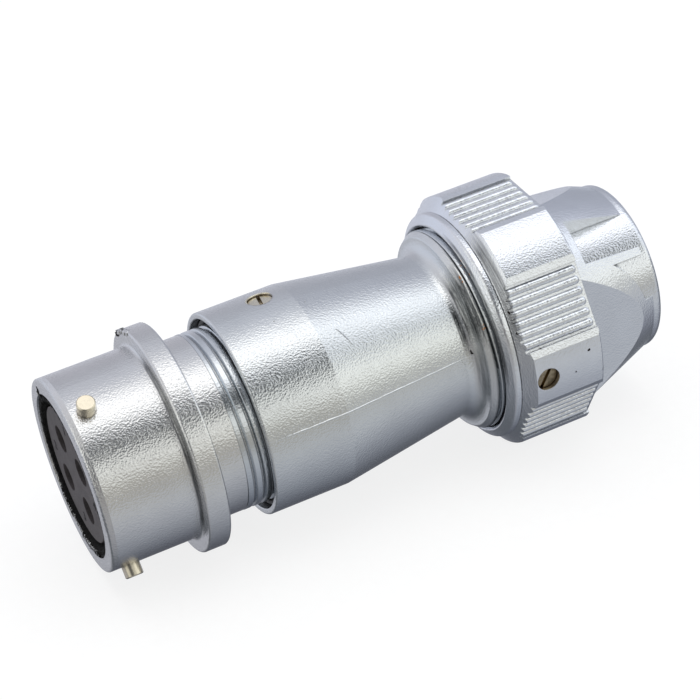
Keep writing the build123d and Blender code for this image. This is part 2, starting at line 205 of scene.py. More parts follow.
def blend_colour(tree, factor, first, second, mode="MIX"):
    """Mixes two colours by a factor."""
    made = add_node(tree, "ShaderNodeMix", {MIX_FACTOR: factor}, data_type="RGBA", blend_type=mode)
    for number, value in ((MIX_FIRST, first), (MIX_SECOND, second)):
        socket = made.inputs[number]
        if isinstance(value, bpy.types.NodeSocket):
            tree.links.new(value, socket)
        else:
            socket.default_value = (*value, 1.0)
    return made.outputs[MIX_RESULT]


def own_coordinates(tree):
    """Coordinates in the piece's own frame, in metres, so that a pattern never slides over it."""
    return add_node(tree, "ShaderNodeTexCoord").outputs["Object"]


def nook_light(tree, reach):
    """How open the surface is within a reach in millimetres: 1 in the open, and 0 deep in a corner."""
    names = {"Distance": reach * MM}
    return add_node(tree, "ShaderNodeAmbientOcclusion", names, samples=NODE_SAMPLES).outputs["AO"]


def rounded_edge(tree, radius):
    """A surface direction that rounds sharp edges by a radius in millimetres, for the light alone."""
    names = {"Radius": radius * MM}
    return add_node(tree, "ShaderNodeBevel", names, samples=NODE_SAMPLES).outputs["Normal"]


def bump(tree, height, depth, normal):
    """A surface direction roughened by a height pattern of a depth in millimetres."""
    names = {"Strength": 1.0, "Distance": depth * MM, "Height": height, "Normal": normal}
    return add_node(tree, "ShaderNodeBump", names).outputs["Normal"]


print("node helpers ready, one unit is", MM, "m")

# %% [markdown]
# ## Floor
# The part lies on its side and touches the table at two places: the rim of the flange and the
# front edge of one flat of the nut. The two stand out unevenly, so the table slopes a little
# in the part's own frame. White paper under studio light is almost too bright to show a shadow.
# Most of its brightness is therefore a glow of its own, and only the rest comes from the lamp,
# which leaves a faint grey under the part.

# %% Floor
FLANGE_REST = Vector((16.3, 0.0, -16.3)) * MM
NUT_REST = Vector((61.1, 0.0, -17.75)) * MM
FLOOR_SIZE = 6.0
FLOOR_GAP = 0.02 * MM
FIBRE_SIZE = 1.2
PAPER_DARK = (0.19, 0.19, 0.19)
PAPER_LIGHT = (0.23, 0.23, 0.23)
PAPER_ROUGHNESS = 0.9
PAPER_SPECULAR = 0.1
PAPER_GLOW = 0.80
FIBRE_DETAIL = 3.0

slope = (NUT_REST.z - FLANGE_REST.z) / (NUT_REST.x - FLANGE_REST.x)


def table_height(x):
    """Height of the table under a station in metres."""
    return FLANGE_REST.z + slope * (x - FLANGE_REST.x) - FLOOR_GAP


half = FLOOR_SIZE / 2
corners = [(x, y, table_height(x)) for x, y in ((-half, -half), (half, -half), (half, half), (-half, half))]
floor_mesh = bpy.data.meshes.new("table")
floor_mesh.from_pydata(corners, [], [(0, 1, 2, 3)])
floor = bpy.data.objects.new("table", floor_mesh)
bpy.context.scene.collection.objects.link(floor)

paper, tree, shader = new_material("white_paper")
fibre = speckle(tree, own_coordinates(tree), FIBRE_SIZE, detail=FIBRE_DETAIL)
white = ramp(tree, fibre, [(0.0, PAPER_DARK), (1.0, PAPER_LIGHT)])
tree.links.new(white, shader.inputs["Base Color"])
shader.inputs["Roughness"].default_value = PAPER_ROUGHNESS
shader.inputs["Specular IOR Level"].default_value = PAPER_SPECULAR
shader.inputs["Emission Color"].default_value = (1.0, 1.0, 1.0, 1.0)
shader.inputs["Emission Strength"].default_value = PAPER_GLOW
floor_mesh.materials.append(paper)
floor.visible_glossy = False
floor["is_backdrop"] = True
print("table slopes by", round(degrees(atan2(slope, 1.0)), 2), "degrees")

# %% [markdown]
# ## Studio light
# Polished metal has almost no colour of its own. What the eye reads as metal is the room in it,
# so the room is painted first. A sky gradient by height alone would give one band. A cylinder
# along X mirrors the room as rings round the X axis, so the turn round that axis drives a colour
# ramp: 0 is the front, 90 the ceiling, 180 the back and -90 the table. The barrel and the nose
# mirror one slice of the room, and the taper, which leans to the cable end, mirrors another.

# %% Slices for the barrel and the taper
BARREL_ROOM = [
    (-180, (0.50, 0.50, 0.56)),
    (-158, (0.66, 0.68, 0.76)),
    (-124, (0.08, 0.085, 0.10)),
    (-100, (0.13, 0.14, 0.17)),
    (-75, (0.27, 0.29, 0.33)),
    (-43, (0.43, 0.45, 0.49)),
    (-24, (0.52, 0.54, 0.56)),
    (-6, (0.38, 0.37, 0.34)),
    (10, (0.42, 0.41, 0.37)),
    (20, (0.92, 0.93, 0.90)),
    (36, (0.88, 0.89, 0.86)),
    (45, (0.05, 0.055, 0.06)),
    (63, (0.05, 0.055, 0.06)),
    (74, (1.05, 1.06, 1.07)),
    (84, (1.55, 1.55, 1.55)),
    (104, (1.35, 1.35, 1.35)),
    (116, (0.66, 0.68, 0.74)),
    (137, (0.58, 0.60, 0.67)),
    (160, (0.42, 0.43, 0.48)),
    (180, (0.50, 0.50, 0.56)),
]
TAPER_ROOM = [
    (-180, (0.38, 0.40, 0.46)),
    (-153, (0.55, 0.58, 0.66)),
    (-113, (0.10, 0.11, 0.12)),
    (-81, (0.20, 0.21, 0.25)),
    (-64, (0.32, 0.34, 0.38)),
    (-31, (0.54, 0.56, 0.59)),
    (-12, (0.50, 0.51, 0.51)),
    (6, (0.50, 0.50, 0.47)),
    (18, (1.00, 1.02, 0.96)),
    (39, (1.06, 1.08, 1.04)),
    (57, (0.66, 0.70, 0.73)),
    (74, (0.94, 0.98, 1.04)),
    (92, (1.25, 1.30, 1.36)),
    (108, (0.90, 0.94, 1.02)),
    (122, (0.46, 0.48, 0.56)),
    (159, (0.40, 0.42, 0.48)),
    (180, (0.38, 0.40, 0.46)),
]
print("barrel slice:", len(BARREL_ROOM), "stops, taper slice:", len(TAPER_ROOM), "stops")

# %% [markdown]
# Two more slices lie towards the mating end. Shoulders and rounded edges that face forwards and
# outwards mirror one of them, and flat faces that look straight to the front mirror the other.

# %% Slices for the front
END_ROOM = [
    (-180, (0.66, 0.70, 0.80)),
    (-145, (0.54, 0.55, 0.60)),
    (-112, (0.08, 0.09, 0.10)),
    (-90, (0.17, 0.18, 0.20)),
    (-70, (0.32, 0.33, 0.36)),
    (-30, (0.38, 0.38, 0.39)),
    (0, (0.30, 0.29, 0.28)),
    (22, (0.14, 0.14, 0.15)),
    (50, (0.14, 0.15, 0.16)),
    (66, (0.40, 0.40, 0.41)),
    (95, (0.62, 0.62, 0.64)),
    (150, (0.66, 0.67, 0.74)),
    (180, (0.66, 0.70, 0.80)),
]
FACE_ROOM = [
    (-180, (0.58, 0.62, 0.70)),
    (-145, (0.54, 0.55, 0.60)),
    (-110, (0.10, 0.11, 0.12)),
    (-75, (0.20, 0.21, 0.23)),
    (-39, (0.32, 0.32, 0.31)),
    (0, (0.46, 0.46, 0.44)),
    (50, (0.86, 0.87, 0.83)),
    (100, (1.08, 1.09, 1.05)),
    (126, (0.98, 0.99, 0.96)),
    (152, (0.62, 0.63, 0.66)),
    (180, (0.58, 0.62, 0.70)),
]
print("shoulder slice:", len(END_ROOM), "stops, front slice:", len(FACE_ROOM), "stops")

# %% [markdown]
# The slices are joined by how far a direction leans along X. Each one fades in over a range of
# that lean, so no seam shows on a rounded edge.

# %% Room
SLICE_FADES = [
    (0.30, 0.50, TAPER_ROOM),
    (0.0, -0.35, END_ROOM),
    (-0.66, -0.88, FACE_ROOM),
]


def room_slice(tree, turned, stops):
    """One slice of the room, as a ramp over the turn round the X axis."""
    shares = [((angle + 180) / 360, colour) for angle, colour in stops]
    return ramp(tree, spread(tree, turned, -pi, pi), shares)


world = bpy.data.worlds.new("studio")
world.use_nodes = True
tree = world.node_tree
tree.nodes.clear()
direction = add_node(tree, "ShaderNodeTexCoord").outputs["Generated"]
toward = add_node(tree, "ShaderNodeSeparateXYZ", {0: direction}).outputs
turned = maths(tree, "ARCTAN2", toward["Z"], maths(tree, "MULTIPLY", toward["Y"], -1.0))
room = room_slice(tree, turned, BARREL_ROOM)
for fade_start, fade_end, stops in SLICE_FADES:
    share = spread(tree, toward["X"], fade_start, fade_end)
    room = blend_colour(tree, share, room, room_slice(tree, turned, stops))
background = add_node(tree, "ShaderNodeBackground", {"Color": room, "Strength": 1.0})
add_node(tree, "ShaderNodeOutputWorld", {"Surface": background.outputs["Background"]})
bpy.context.scene.world = world
print("room of", 1 + len(SLICE_FADES), "slices")

# %% [markdown]
# The main lamp is one wide soft box right over the part. It throws the faint shadow, and models
# the dull pieces. The metal doesn't mirror it, because the painted room has its reflection already.

# %% Soft box
SOFT_BOX_OFFSET = Vector((0.03, 0.01, 0.46))
SOFT_BOX_SIZE = (0.9, 0.40)
SOFT_BOX_RADIANCE = 1.2

middle = (cad_box[0] + cad_box[1]) / 2
lamp = bpy.data.lights.new("overhead_box", "AREA")
lamp.shape = "RECTANGLE"
lamp.size, lamp.size_y = SOFT_BOX_SIZE
lamp.energy = SOFT_BOX_RADIANCE * pi * SOFT_BOX_SIZE[0] * SOFT_BOX_SIZE[1]
soft_box = bpy.data.objects.new("overhead_box", lamp)
soft_box.location = middle + SOFT_BOX_OFFSET
soft_box.rotation_euler = (middle - soft_box.location).to_track_quat("-Z", "Y").to_euler()
soft_box.visible_glossy = False
bpy.context.scene.collection.objects.link(soft_box)
print("soft box of", SOFT_BOX_SIZE, "m gives", round(lamp.energy, 2), "W")

# %% [markdown]
# ## Masks for marks and painted shade
# A used casting is marked in known places, such as a black speck in a corner, and streaky bands of
# painted shade lie at some steps. A painted image would do, but it needs an unwrapped mesh. Here a
# mask measures how far a point of the surface lies from a marked place, and noise makes the border
# of the mark ragged.

# %% Masks for marks and painted shade
WOBBLE_SIZE = 0.35
SPOT_RAGGEDNESS = 0.22
SPOT_CORE = 0.85
SPOT_RIM = 1.1
STREAK_SIZE = 0.22
STREAK_RADIUS = 0.8
STREAK_NOISE = (0.38, 0.60)
STREAK_DEPTH = (0.55, 1.0)
STATION_EDGE = 0.12
RADIUS_EDGE = 0.08
SIDE_EDGE = 0.12


def strongest(tree, masks):
    """The largest of several masks at each point."""
    total = masks[0]
    for mask in masks[1:]:
        total = maths(tree, "MAXIMUM", total, mask)
    return total


def spots(tree, coordinates, marks):
    """Mask that is 1 inside small ragged spots. A mark is (station, radius, side, size) in millimetres."""
    noise_inputs = {"Vector": coordinates, "Scale": 1.0 / (WOBBLE_SIZE * MM), "Detail": 2.0}
    wobble = add_node(tree, "ShaderNodeTexNoise", noise_inputs).outputs["Color"]
    away = vector_maths(tree, "SUBTRACT", {0: wobble, 1: (0.5, 0.5, 0.5)})
    away = vector_maths(tree, "SCALE", {0: away, "Scale": 2 * SPOT_RAGGEDNESS * MM})
    ragged = vector_maths(tree, "ADD", {0: coordinates, 1: away})
    masks = []
    for station, radius, side, size in marks:
        centre = tuple(place(station, radius, side))
        reach = vector_maths(tree, "DISTANCE", {0: ragged, 1: centre}, "Value")
        masks.append(spread(tree, reach, size * MM * SPOT_CORE, size * MM * SPOT_RIM, 1.0, 0.0))
    return strongest(tree, masks)


def between(tree, value, low, high, edge):
    """Mask that is 1 while a value lies between two others, with soft edges."""
    enter = spread(tree, value, low - edge, low + edge)
    leave = spread(tree, value, high - edge, high + edge, 1.0, 0.0)
    return maths(tree, "MULTIPLY", enter, leave)


def dirt_bands(tree, coordinates, bands):
    """Mask of streaky bands of painted shade round the axis. A band is its ranges of station, radius
    and side, and its depth. The noise is drawn on the unrolled surface, so its streaks run round the axis."""
    parts = add_node(tree, "ShaderNodeSeparateXYZ", {0: coordinates}).outputs
    flat = add_node(tree, "ShaderNodeCombineXYZ", {"Y": parts["Y"], "Z": parts["Z"]}).outputs[0]
    radius = vector_maths(tree, "LENGTH", {0: flat}, "Value")
    side = maths(tree, "ARCTAN2", parts["Z"], maths(tree, "MULTIPLY", parts["Y"], -1.0))
    along = maths(tree, "MULTIPLY", side, STREAK_RADIUS * MM)
    unrolled = add_node(tree, "ShaderNodeCombineXYZ", {"X": parts["X"], "Y": radius, "Z": along}).outputs[0]
    streaks = speckle(tree, unrolled, STREAK_SIZE, detail=4.0, roughness=0.7)
    masks = []
    for stations, radii, sides, depth in bands:
        ranges = [
            (parts["X"], stations[0] * MM, stations[1] * MM, STATION_EDGE * MM),
            (radius, radii[0] * MM, radii[1] * MM, RADIUS_EDGE * MM),
            (side, radians(sides[0]), radians(sides[1]), SIDE_EDGE),
        ]
        mask = depth
        for value, low, high, edge in ranges:
            mask = maths(tree, "MULTIPLY", mask, between(tree, value, low, high, edge))
        masks.append(mask)
    broken_up = spread(tree, streaks, *STREAK_NOISE, *STREAK_DEPTH)
    return maths(tree, "MULTIPLY", strongest(tree, masks), broken_up)


print("a spot fades between", SPOT_CORE, "and", SPOT_RIM, "of its size")

# %% [markdown]
# ## Cast metal with satin plating
# The shell, the backshell and the nut are die castings, tumbled and nickel plated. The plating
# follows the pitted skin of the casting, so highlights break up into sparks. That skin could be an
# image, but a pattern in the piece's own millimetres never stretches. Cells of a Voronoi texture
# give the pits, and noise on top makes them uneven, where noise alone would look like flowing
# water. An ambient occlusion node finds the corners, where the colour is darkened as painted shade,
# and a bevel node rounds each sharp edge for the light.

# %% Cast metal
GRAIN_SIZE = 0.21
GRAIN_HEIGHT = 0.031
PIT_SPACING = 1.3
CLOUD_SIZE = 5.0
CLOUD_LIGHT = 1.02
CLOUD_DARK = 0.96
CAST_NOOK_REACH = 0.7
CAST_NOOK_DEEP = 0.25
CAST_NOOK_OPEN = 0.60
FRONT_ROUNDING = 0.5
CAST_EDGE_ROUNDING = 0.10
CAST_SHINE = (0.16, 0.24)
MARK_ROUGHNESS = 0.45
BAND_SHADE = (0.07, 0.075, 0.08)


def cast_metal(name, base, grain_height=GRAIN_HEIGHT, marks=(), worn_front=0.0, bands=(), painted_shade_floor=0.24):
    """Satin plating over a cast skin. A group of marks is a colour and its spots, worn_front is the
    length in millimetres over which the front edge is rubbed down, and the last argument is the share
    of the colour that is left deep in a corner, where ambient occlusion paints shade into the colour."""
    material, tree, shader = new_material(name)
    coordinates = own_coordinates(tree)
    lighter = tuple(min(1.0, value * CLOUD_LIGHT) for value in base)
    darker = tuple(value * CLOUD_DARK for value in base)
    cloud = speckle(tree, coordinates, CLOUD_SIZE, detail=3.0)
    colour = ramp(tree, cloud, [(NOISE_RANGE[0], darker), (NOISE_RANGE[1], lighter)])
    # Painted shade: the colour is darkened in corners that ambient occlusion finds.
    nook = nook_light(tree, CAST_NOOK_REACH)
    painted_corner_shade = ramp(tree, nook, [(CAST_NOOK_DEEP, (painted_shade_floor,) * 3), (CAST_NOOK_OPEN, (1.0, 1.0, 1.0))])
    colour = blend_colour(tree, 1.0, colour, painted_corner_shade, "MULTIPLY")
    fine = speckle(tree, coordinates, GRAIN_SIZE, detail=2.5, roughness=0.6)
    shine = spread(tree, fine, *NOISE_RANGE, *CAST_SHINE)
    # Painted shade: streaky dark bands at steps, chamfers and the lips of mouths.
    if bands:
        colour = blend_colour(tree, dirt_bands(tree, coordinates, bands), colour, BAND_SHADE)
    for tint, group in marks:
        mask = spots(tree, coordinates, group)
        colour = blend_colour(tree, mask, colour, tint)
        shine = maths(tree, "MAXIMUM", shine, maths(tree, "MULTIPLY", mask, MARK_ROUGHNESS))
    normal = rounded_edge(tree, CAST_EDGE_ROUNDING)
    if worn_front:
        station = add_node(tree, "ShaderNodeSeparateXYZ", {0: coordinates}).outputs["X"]
        rubbed = spread(tree, station, 0.0, worn_front * MM)
        normal = bump(tree, rubbed, FRONT_ROUNDING * worn_front, normal)
    cells = {"Vector": coordinates, "Scale": 1.0 / (PIT_SPACING * GRAIN_SIZE * MM)}
    pits = add_node(tree, "ShaderNodeTexVoronoi", cells).outputs["Distance"]
    for height in (pits, fine):
        normal = bump(tree, height, grain_height, normal)
    tree.links.new(colour, shader.inputs["Base Color"])
    tree.links.new(shine, shader.inputs["Roughness"])
    tree.links.new(normal, shader.inputs["Normal"])
    shader.inputs["Metallic"].default_value = 1.0
    return material


bright_metal = cast_metal("cast_metal_bright", (0.92, 0.92, 0.90), grain_height=0.02)
thread_metal = cast_metal("cast_metal_thread", (0.74, 0.77, 0.80), grain_height=0.012, painted_shade_floor=0.62)
print("plain cast metals:", bright_metal.name, thread_metal.name)

# %% [markdown]
# Each casting has its own marks, read off the photograph: bare copper where the plating has worn
# through on an edge, black specks in corners and pits, and brown round the two screw holes, which is
# partly wear and partly painted shade in the hole. They are kept as tables, so that a mark can be
# moved without touching the material.

# %% Marks on the three castings
COPPER = (0.46, 0.19, 0.06)
DARK_SPECK = (0.030, 0.027, 0.025)
# Brown round the screw holes is partly wear and partly painted shade on the hole's wall.
HOLE_WEAR_AND_SHADE = (0.16, 0.10, 0.05)
BODY_SCREW_STATION = 31.75
BODY_SCREW_SIDE = 100.4

# Spots: station, radius and side of the centre, then the size.
SHELL_MARKS = [
    (DARK_SPECK, [(13.3, 16.2, 121.0, 0.55), (13.2, 15.9, 128.0, 0.5), (13.4, 16.2, 117.0, 0.3)]),
]
BACKSHELL_MARKS = [
    (COPPER, [
        (57.6, 14.7, 31.0, 0.26), (57.6, 14.7, 33.0, 0.18),
        (57.6, 14.7, 62.0, 0.26), (57.6, 14.7, 59.0, 0.18),
    ]),
    (DARK_SPECK, [(55.8, 12.2, 17.4, 0.22), (55.8, 12.2, 19.0, 0.16)]),
    (HOLE_WEAR_AND_SHADE, [(BODY_SCREW_STATION, 13.9, BODY_SCREW_SIDE, 2.0)]),
]
NUT_MARKS = [
    (COPPER, [
        (58.6, 15.5, 68.9, 0.16), (58.6, 15.5, 64.5, 0.18),
        (58.6, 15.5, 60.0, 0.15), (62.6, 18.3, -4.6, 0.18),
    ]),
    (DARK_SPECK, [
        (61.0, 17.4, 39.3, 0.16), (60.8, 17.4, 34.5, 0.20), (60.8, 17.4, 29.6, 0.16),
        (60.9, 17.5, 24.6, 0.20), (63.48, 17.75, 14.2, 0.24), (61.7, 17.7, 14.0, 0.20),
        (61.75, 18.2, 10.1, 0.14), (58.7, 16.9, 19.9, 0.14), (58.8, 16.9, 11.4, 0.12),
        (67.92, 18.7, -1.6, 0.14), (70.2, 18.7, 6.5, 0.22),
    ]),
    (HOLE_WEAR_AND_SHADE, [(63.65, 17.5, 0.0, 1.9)]),
]

# Bands of painted shade at steps and chamfers: ranges of station, radius and side, then the depth.
SHELL_BANDS = [((12.75, 13.25), (13.8, 14.5), (-25.0, 88.0), 0.9)]
BACKSHELL_BANDS = [
    ((55.9, 57.6), (12.3, 15.2), (26.0, 66.0), 0.95),
    ((54.9, 55.7), (11.5, 12.8), (22.0, 50.0), 1.05),
    ((56.0, 57.0), (11.9, 13.9), (-12.0, 20.0), 0.45),
    ((57.65, 58.1), (14.0, 15.2), (-60.0, 80.0), 0.75),
]
NUT_BANDS = [
    ((58.4, 59.1), (15.0, 16.02), (2.0, 84.0), 0.88),
    ((60.3, 61.5), (16.95, 18.6), (22.0, 72.0), 0.80),
]

shell_metal = cast_metal(
    "cast_metal_shell", (0.82, 0.82, 0.82), marks=SHELL_MARKS, worn_front=1.0, bands=SHELL_BANDS
)
backshell_metal = cast_metal(
    "cast_metal_backshell", (0.80, 0.82, 0.83), marks=BACKSHELL_MARKS, bands=BACKSHELL_BANDS
)
nut_metal = cast_metal(
    "cast_metal_nut", (0.87, 0.89, 0.93), grain_height=0.026, marks=NUT_MARKS, bands=NUT_BANDS
)
print("marked cast metals:", shell_metal.name, backshell_metal.name, nut_metal.name)

# %% [markdown]
# ## Turned metal
# The bayonet pins, the screws and the contacts were turned on a lathe. They are smoother than the
# castings, a little yellower, and carry fine tool rings, which a wave texture could draw. Noise
# stretched across the cut does it with less regularity, as on a worn tool.

# %% Turned metal
RING_SIZE = 0.12
RING_STRETCH = (1.0, 0.25, 0.25)
RING_HEIGHT = 0.008
STAIN_SIZE = 0.6
STAIN_RANGE = (0.35, 0.65)
TURNED_NOOK_REACH = 0.8
TURNED_NOOK_DEEP = 0.2
TURNED_NOOK_OPEN = 0.8
TURNED_EDGE_ROUNDING = 0.08
SMOOTHEST_SHARE = 0.8
ROUGHEST_SHARE = 1.25


def turned_metal(name, base, roughness, worn=0.0, nook_shade=(0.12, 0.10, 0.09)):
    """Lathe turned metal with faint rings, dark wear where worn is above 0, and a shade in its nooks."""
    material, tree, shader = new_material(name)
    coordinates = own_coordinates(tree)
    stretch = {"Vector": coordinates, "Scale": RING_STRETCH}
    stretched = add_node(tree, "ShaderNodeMapping", stretch).outputs["Vector"]
    rings = speckle(tree, stretched, RING_SIZE, detail=3.0)
    stain = spread(tree, speckle(tree, coordinates, STAIN_SIZE, detail=3.0), *STAIN_RANGE)
    dark = tuple(value * (1.0 - worn) for value in base)
    colour = ramp(tree, stain, [(0.0, dark), (1.0, base)])
    nook = nook_light(tree, TURNED_NOOK_REACH)
    shade = ramp(tree, nook, [(TURNED_NOOK_DEEP, nook_shade), (TURNED_NOOK_OPEN, (1.0, 1.0, 1.0))])
    tree.links.new(blend_colour(tree, 1.0, colour, shade, "MULTIPLY"), shader.inputs["Base Color"])
    shine = spread(tree, rings, *NOISE_RANGE, roughness * SMOOTHEST_SHARE, roughness * ROUGHEST_SHARE)
    tree.links.new(shine, shader.inputs["Roughness"])
    skin = bump(tree, rings, RING_HEIGHT, rounded_edge(tree, TURNED_EDGE_ROUNDING))
    tree.links.new(skin, shader.inputs["Normal"])
    shader.inputs["Metallic"].default_value = 1.0
    return material


pin_metal = turned_metal("pin_metal", (0.78, 0.71, 0.57), 0.17, worn=0.06, nook_shade=(0.05, 0.04, 0.03))
nickel_screw_metal = turned_metal(
    "nickel_screw_metal", (0.95, 0.90, 0.76), 0.26, worn=0.12, nook_shade=(0.55, 0.46, 0.34)
)
brass_screw_metal = turned_metal(
    "brass_screw_metal", (0.46, 0.38, 0.26), 0.34, worn=0.45, nook_shade=(0.80, 0.72, 0.50)
)
contact_metal = turned_metal("contact_metal", (0.80, 0.77, 0.68), 0.22, worn=0.2)
ring_metal = turned_metal("ring_metal", (0.35, 0.35, 0.36), 0.35, worn=0.3)
print("turned metals with tool rings", RING_SIZE, "mm apart")

# %% [markdown]
# ## Moulded plastic and rubber
# The lining of the nose is a rough black moulding, the insert a dark warm grey one, and the seals
# are rubber. All three are dull, so their colour matters more than their shine. Each gets grain at
# its own scale, dust caught by the grain, and soft edges.

# %% Plastic and rubber
BROAD_GRAIN = 9
FINE_SHARE = 0.6
BROAD_SHARE = 0.4
DUST_START = 0.35
DUST_FULL = 0.72
MOULDED_EDGE_ROUNDING = 0.1
ROUGHNESS_RANGE = 0.2

# Colour, colour of the dust, size of the grain, roughness, height of the grain.
MOULDINGS = {
    "lining_plastic": ((0.002, 0.002, 0.002), (0.012, 0.012, 0.012), 0.22, 0.75, 0.09),
    "insert_plastic": ((0.036, 0.031, 0.033), (0.085, 0.075, 0.078), 0.18, 0.50, 0.015),
    "number_plastic": ((0.004, 0.004, 0.004), (0.010, 0.009, 0.009), 0.12, 0.50, 0.01),
    "seal_rubber": ((0.16, 0.16, 0.17), (0.24, 0.24, 0.25), 0.10, 0.50, 0.01),
    "grommet_rubber": ((0.012, 0.012, 0.012), (0.05, 0.05, 0.048), 0.15, 0.60, 0.02),
    "washer_plastic": ((0.52, 0.51, 0.47), (0.66, 0.65, 0.61), 0.12, 0.40, 0.008),
}


def moulded(name, base, dust, grain, roughness, relief):
    """Dull moulded material with grain of a size and height in millimetres, and dust on its tops."""
    material, tree, shader = new_material(name)
    coordinates = own_coordinates(tree)
    fine = speckle(tree, coordinates, grain, detail=4.0, roughness=0.65)
    broad = speckle(tree, coordinates, grain * BROAD_GRAIN)
    fine_part = maths(tree, "MULTIPLY", fine, FINE_SHARE)
    mottled = maths(tree, "ADD", fine_part, maths(tree, "MULTIPLY", broad, BROAD_SHARE))
    tree.links.new(ramp(tree, mottled, [(DUST_START, base), (DUST_FULL, dust)]), shader.inputs["Base Color"])
    shine = spread(tree, fine, *NOISE_RANGE, roughness, min(1.0, roughness + ROUGHNESS_RANGE))
    tree.links.new(shine, shader.inputs["Roughness"])
    skin = bump(tree, fine, relief, rounded_edge(tree, MOULDED_EDGE_ROUNDING))
    tree.links.new(skin, shader.inputs["Normal"])
    return material


mouldings = {name: moulded(name, *values) for name, values in MOULDINGS.items()}
print("mouldings:", sorted(mouldings))

# %% [markdown]
# ## Dress the solid pieces
# The solid pieces keep their shape, and only their material slots change. A table from the
# record's finish to a material keeps this to one loop, with the three castings named apart,
# because each has its own marks.

# %% Dress the solid pieces
FINISHES = {
    "nickel_pin": pin_metal,
    "black_lining": mouldings["lining_plastic"],
    "dark_insert": mouldings["insert_plastic"],
    "contact_metal": contact_metal,
    "spring_steel": ring_metal,
    "seal_rubber": mouldings["seal_rubber"],
    "grommet_rubber": mouldings["grommet_rubber"],
    "washer_plastic": mouldings["washer_plastic"],
    "nickel_screw": nickel_screw_metal,
    "brass_screw": brass_screw_metal,
}
CASTINGS = {"front_shell": shell_metal, "backshell": backshell_metal, "clamping_nut": nut_metal}


def dress(piece, material):
    """Puts one material on every slot of a piece."""
    if not piece.material_slots:
        piece.data.materials.append(material)
    for slot in piece.material_slots:
        slot.material = material


for row in frame["record"]["subparts"]:
    name = row["node"]
    dress(frame["nodes"][name], CASTINGS.get(name) or FINISHES[row["material_slot"]])

# %% [markdown]
# ## Mesh helpers
# Every form from here on is a list of points and a list of faces. Most are rows of points joined
# by quads: an open row gives a strip, and a closed one a tube. One function makes the object, dresses
# it, and says which moving body carries it, so that it follows when the parts are screwed apart.

# %% Mesh helpers


def grid_faces(steps, width, closed=False):
    """Quads between rows of points. A closed row joins its last point to its first."""
    faces = []
    for step in range(steps):
        for corner in range(width if closed else width - 1):
            first = step * width + corner
            second = step * width + (corner + 1) % width
            faces.append((first, second, second + width, first + width))
    return faces


def add_object(name, mesh, material, body):
    """Makes an object of a mesh, in one material, that rides on a body."""
    piece = bpy.data.objects.new(name, mesh)
    bpy.context.scene.collection.objects.link(piece)
    dress(piece, material)
    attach(piece, body)
    return piece


def add_piece(name, points, faces, material, body, smooth=False):
    """Makes an object of points and faces that rides on a body."""
    mesh = bpy.data.meshes.new(name)
    mesh.from_pydata(points, [], faces)
    mesh.update()
    for face in mesh.polygons:
        face.use_smooth = smooth
    return add_object(name, mesh, material, body)


def fade(share, rate):
    """1 along the middle of a line and 0 at its ends. The share is 0 at its start and 1 at its end."""
    return min(1.0, rate * share, rate * (1 - share))


print("one step of a square tube:", grid_faces(1, 4, closed=True))

# %% [markdown]
# ## Screw threads
# The shell's tail and the end of the backshell are threaded. A thread could be a bump pattern,
# but its edge shows against the light, so it is a real helical ridge. A profile is carried along
# a helix, and points that would stand before the first station are held there, so that the thread
# comes out of its shoulder bit by bit, as a cut thread does.

# %% Screw threads
STEPS_PER_TURN = 128
CREST_ROUNDING = 0.18
FOOT_SINK = 0.02

# A crest of the shell's thread was read at station 22.03 and side 50, so it is moved on to side 0.
SHELL_THREAD = {
    "start": 20.45, "end": 32.2, "pitch": 1.35, "root": 12.45, "crest": 12.90,
    "top_share": 0.52, "foot_share": 0.97, "centre_at_zero": 22.03 + 1.35 * 50 / 360,
}
BACKSHELL_THREAD = {
    "start": 57.9, "end": 66.9, "pitch": 1.5, "root": 14.4, "crest": 14.9,
    "top_share": 0.45, "foot_share": 0.9, "centre_at_zero": 58.75,
}


def helical_ridge(name, body, start, end, pitch, root, crest, top_share, foot_share, centre_at_zero):
    """A right-hand thread ridge between two stations. centre_at_zero is a crest's station at side 0."""
    half_top = top_share * pitch / 2
    half_foot = foot_share * pitch / 2
    rounding = (crest - root) * CREST_ROUNDING
    section = [
        (-half_foot, root - FOOT_SINK), (-half_top - rounding, crest - rounding), (-half_top, crest),
        (half_top, crest), (half_top + rounding, crest - rounding), (half_foot, root - FOOT_SINK),
    ]
    first_turn = (start - half_foot - centre_at_zero) / pitch
    last_turn = (end + half_foot - centre_at_zero) / pitch
    steps = int((last_turn - first_turn) * STEPS_PER_TURN)
    points = []
    for step in range(steps + 1):
        turns = first_turn + step / STEPS_PER_TURN
        centre = centre_at_zero + turns * pitch
        for offset, radius in section:
            station = min(max(centre + offset, start), end)
            points.append(place(station, radius, -360.0 * turns))
    width = len(section)
    faces = grid_faces(steps, width)
    faces.append(tuple(range(width - 1, -1, -1)))
    faces.append(tuple(range(steps * width, steps * width + width)))
    print(name, "turns", round(last_turn - first_turn, 1), "faces", len(faces))
    return add_piece(name, points, faces, thread_metal, body)


helical_ridge("shell_thread", "shell", **SHELL_THREAD)
helical_ridge("backshell_thread", "body", **BACKSHELL_THREAD)

# %% [markdown]
# ## Measure the surface
# Small marks have to sit on the casting, wherever it curves. A ray sent from outside towards the
# axis finds the surface, so no radius has to be copied from the drawing.

# %% Measure the surface
RAY_START_RADIUS = 40.0
search_trees = {}


def surface(node, station, side):
    """Radius in millimetres of a node's outer surface, by a ray from outside towards the axis."""
    if node not in search_trees:
        mesh = frame["nodes"][node].data
        points = [vertex.co for vertex in mesh.vertices]
        search_trees[node] = BVHTree.FromPolygons(points, [face.vertices for face in mesh.polygons])
    hit = search_trees[node].ray_cast(place(station, RAY_START_RADIUS, side), -outward(side))[0]
    return hit.yz.length / MM


for station in (30.0, 54.0):
    print("backshell radius at station", station, "is", round(surface("backshell", station, 20.0), 2))

